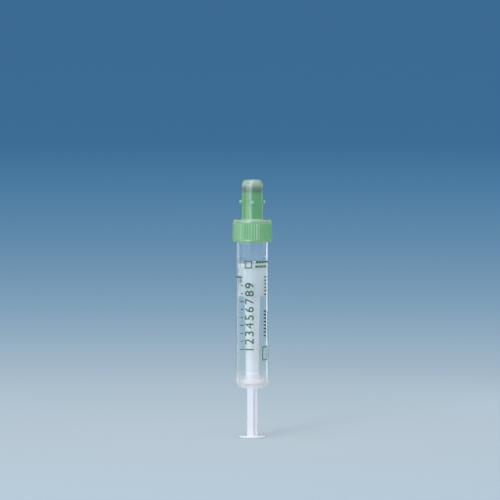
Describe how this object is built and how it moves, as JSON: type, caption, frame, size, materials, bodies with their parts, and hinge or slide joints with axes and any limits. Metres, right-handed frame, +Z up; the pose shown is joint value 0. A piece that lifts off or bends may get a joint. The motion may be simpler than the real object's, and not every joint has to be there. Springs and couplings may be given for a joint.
{
  "type": "blood collection tube",
  "caption": "Blood collection tube with a clear body and film label, a green screw cap whose neck holds a rubber membrane, and a piston on a rod with a thumb disc.",
  "frame": {"origin": "middle of the thumb disc's underside, on which the part stands", "axes": "+Z up along the tube's axis, from the thumb disc to the neck of the cap; -Y towards the front of the label"},
  "size_m": [0.0154, 0.0154, 0.1005],
  "materials": {
    "clear_tube": "clear, slightly hazy moulded polypropylene",
    "label_film": "clear satin polymer film",
    "print_ink": "dark green ink",
    "green_cap": "translucent green moulded polyethylene",
    "grey_rubber": "matte grey stopper rubber",
    "milky_piston": "milky moulded polyethylene",
    "white_rod": "translucent white moulded polypropylene",
    "clear_solution": "clear water-like liquid"
  },
  "bodies": {
    "barrel": {"tube": "clear_tube", "label": "label_film", "label_print": "print_ink"},
    "plunger": {"piston": "milky_piston", "plunger_rod": "white_rod", "citrate_solution": "clear_solution"},
    "seal": {"membrane": "grey_rubber"},
    "cap": {"screw_cap": "green_cap"}
  },
  "joints": [
    {"name": "plunger_slide", "type": "slide", "parent": "plunger", "child": "barrel", "axis": [0, 0, 1], "range_m": [0, 0.0336]},
    {"name": "cap_lift", "type": "slide", "parent": "barrel", "child": "seal", "axis": [0, 0, 1], "range_m": [0, 0.0036]},
    {"name": "cap_turn", "type": "hinge", "parent": "seal", "child": "cap", "pos_m": [0, 0, 0.08], "axis": [0, 0, 1], "range_deg": [0, 540]}
  ],
  "couplings": [
    {"joint": "cap_turn", "follows": "cap_lift", "rad_per_m": 2618}
  ]
}
